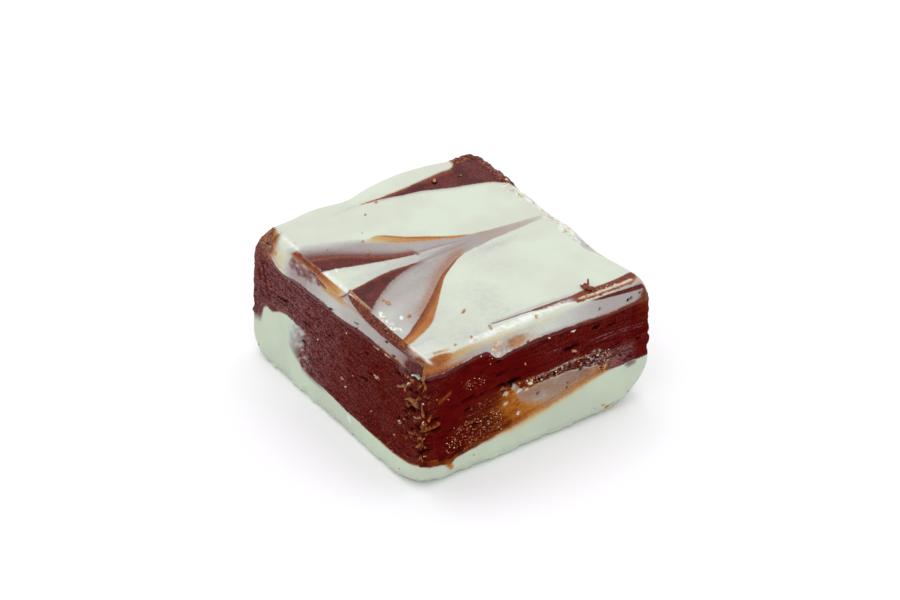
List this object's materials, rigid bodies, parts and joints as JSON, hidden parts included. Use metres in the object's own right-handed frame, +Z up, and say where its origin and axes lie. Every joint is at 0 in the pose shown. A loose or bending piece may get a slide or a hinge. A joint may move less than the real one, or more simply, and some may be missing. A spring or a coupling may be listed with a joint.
{
  "type": "mint chocolate fudge square",
  "caption": "Hand-cut square of layered fudge: pale mint base, thick chocolate core and thin mint top feathered with chocolate swirls, lying flat.",
  "frame": {"origin": "middle of the underside, on the surface the piece lies on", "axes": "+Z up; +X and +Y along the cut sides, with the longer side along Y; the front side faces -Y"},
  "size_m": [0.0308, 0.0328, 0.0157],
  "materials": {
    "mint_fudge": "pale grey-green mint fudge, smooth and slightly waxy, with a soft sheen and small cut marks",
    "chocolate_fudge": "deep red-brown chocolate fudge, knife-dragged and slightly crumbly, with small air holes",
    "swirled_fudge": "pale mint fudge feathered with chocolate and grey-violet swirls, satin, with a soft lip at the cut edges"
  },
  "bodies": {
    "root": {"mint_base": "mint_fudge", "chocolate_core": "chocolate_fudge", "mint_top": "swirled_fudge"}
  },
  "joints": []
}
